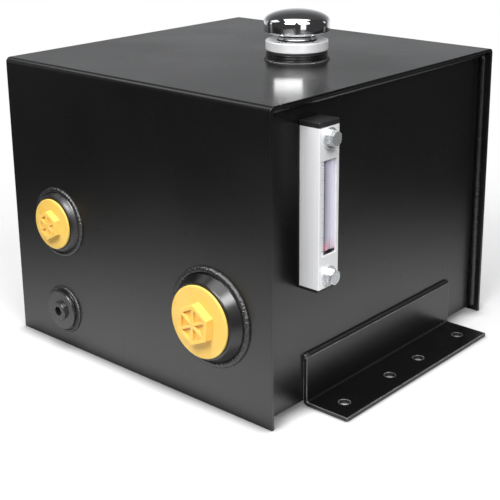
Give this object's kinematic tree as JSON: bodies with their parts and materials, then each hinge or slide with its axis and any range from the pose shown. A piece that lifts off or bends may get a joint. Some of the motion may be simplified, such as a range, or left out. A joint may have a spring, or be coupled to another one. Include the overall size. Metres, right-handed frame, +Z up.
{
  "type": "hydraulic reservoir",
  "caption": "Square black steel oil tank on two mounting angles, with a screwed filler flange and plated breather cap, plugged ports and drain, and a sight gauge.",
  "frame": {"origin": "centre of the mounting bolt pattern, on the surface that the tank stands on, under the centre of the tank's footprint", "axes": "+X to the end with the sight gauge, -Y to the face with the ports, +Z up"},
  "size_m": [0.437, 0.3799, 0.3455],
  "materials": {
    "powder_coat": "satin black powder coat",
    "weld": "weld bead under black powder coat",
    "machined_aluminium": "turned",
    "anodised_aluminium": "white anodised, satin",
    "chrome": "bright plated",
    "zinc_steel": "bright zinc",
    "yellow_plastic": "moulded, slightly translucent yellow",
    "black_plastic": "moulded black",
    "black_rubber": "moulded",
    "gasket": "fibre gasket",
    "foam": "open-cell foam",
    "clear_plastic": "clear",
    "white_plastic": "white strip",
    "red_spirit": "dyed spirit"
  },
  "bodies": {
    "tank": {"tank_wrapper": "powder_coat", "bottom_plate": "powder_coat", "baffle_plate": "powder_coat", "filler_riser": "powder_coat", "filler_riser_weld": "weld", "flange_gasket": "gasket", "filler_flange": "machined_aluminium", "flange_screws": "zinc_steel", "filler_neck": "machined_aluminium", "neck_seal": "black_rubber", "strainer_basket": "zinc_steel", "strainer_floor": "zinc_steel", "gauge_housing": "anodised_aluminium", "gauge_block_bottom": "clear_plastic", "gauge_block_top": "clear_plastic", "gauge_tube": "clear_plastic", "gauge_scale": "white_plastic", "gauge_lens": "clear_plastic", "thermometer_glass": "clear_plastic", "thermometer_spirit": "red_spirit", "gauge_cap_bottom": "black_plastic", "gauge_cap_top": "black_plastic", "gauge_bolts": "zinc_steel", "gauge_washers": "zinc_steel", "gauge_seals": "black_rubber", "gauge_nuts": "zinc_steel", "end_panel_right": "powder_coat", "end_seam_weld_right": "weld", "mounting_angle_right": "powder_coat", "angle_weld_right": "weld", "end_panel_left": "powder_coat", "end_seam_weld_left": "weld", "mounting_angle_left": "powder_coat", "angle_weld_left": "weld", "suction_bung": "powder_coat", "suction_bung_weld": "weld", "return_bung": "powder_coat", "return_bung_weld": "weld", "drain_bung": "powder_coat", "drain_bung_weld": "weld"},
    "cap_seal": {"cap_seal": "black_rubber"},
    "cap": {"cap_shell": "chrome", "cap_base": "chrome", "breather_foam": "foam", "cap_stud": "zinc_steel"},
    "suction_seal": {"suction_plug_seal": "black_rubber"},
    "suction_plug": {"suction_plug": "yellow_plastic"},
    "return_seal": {"return_plug_seal": "black_rubber"},
    "return_plug": {"return_plug": "yellow_plastic"},
    "drain_seal": {"drain_plug_seal": "black_rubber"},
    "drain_plug": {"drain_plug": "black_plastic"}
  },
  "joints": [
    {"name": "cap_lift", "type": "slide", "parent": "tank", "child": "cap_seal", "axis": [0, 0, 1], "range_m": [0, 0.12]},
    {"name": "cap_turn", "type": "hinge", "parent": "cap_seal", "child": "cap", "pos_m": [0.0565, 0.003, 0.296], "axis": [0, 0, 1], "range_deg": [0, 90]},
    {"name": "suction_plug_out", "type": "slide", "parent": "tank", "child": "suction_seal", "axis": [0, -1, 0], "range_m": [0, 0.01556]},
    {"name": "suction_plug_turn", "type": "hinge", "parent": "suction_seal", "child": "suction_plug", "pos_m": [0.1045, -0.1775, 0.09], "axis": [0, -1, 0], "range_deg": [0, 2520]},
    {"name": "return_plug_out", "type": "slide", "parent": "tank", "child": "return_seal", "axis": [0, -1, 0], "range_m": [0, 0.01556]},
    {"name": "return_plug_turn", "type": "hinge", "parent": "return_seal", "child": "return_plug", "pos_m": [-0.107, -0.1775, 0.135], "axis": [0, -1, 0], "range_deg": [0, 2520]},
    {"name": "drain_plug_out", "type": "slide", "parent": "tank", "child": "drain_seal", "axis": [0, -1, 0], "range_m": [0, 0.01165]},
    {"name": "drain_plug_turn", "type": "hinge", "parent": "drain_seal", "child": "drain_plug", "pos_m": [-0.107, -0.1775, 0.0395], "axis": [0, -1, 0], "range_deg": [0, 1800]}
  ],
  "couplings": [
    {"joint": "suction_plug_out", "follows": "suction_plug_turn", "m_per_rad": 0.00035157},
    {"joint": "return_plug_out", "follows": "return_plug_turn", "m_per_rad": 0.00035157},
    {"joint": "drain_plug_out", "follows": "drain_plug_turn", "m_per_rad": 0.00036749}
  ]
}
